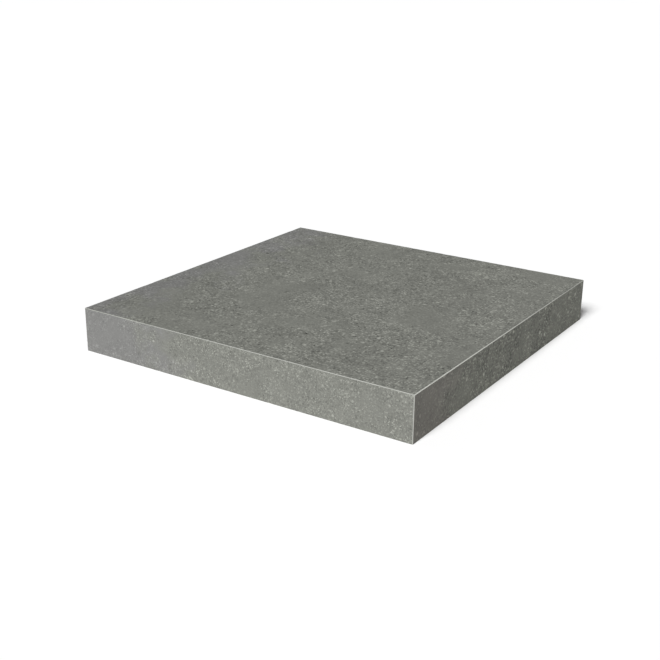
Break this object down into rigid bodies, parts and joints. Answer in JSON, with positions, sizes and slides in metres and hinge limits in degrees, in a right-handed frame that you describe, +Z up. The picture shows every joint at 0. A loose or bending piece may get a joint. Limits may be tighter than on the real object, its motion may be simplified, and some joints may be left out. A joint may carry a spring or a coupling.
{
  "type": "corner step tile",
  "caption": "Square corner step tile in grey stone-look porcelain: a flat tread with mitred nosing strips glued under two adjacent edges, open underneath to bed on a built step.",
  "frame": {"origin": "centre of the square plan, at the level of the nosing strips' lower edges", "axes": "+Z up out of the tread's face, -Y out of the front nosing, +X out of the side nosing"},
  "size_m": [0.33, 0.33, 0.04],
  "materials": {
    "porcelain": "matte",
    "epoxy": "matte"
  },
  "bodies": {
    "root": {"tread_tile": "porcelain", "front_nosing_strip": "porcelain", "side_nosing_strip": "porcelain", "epoxy_mitre_joint": "epoxy"}
  },
  "joints": []
}
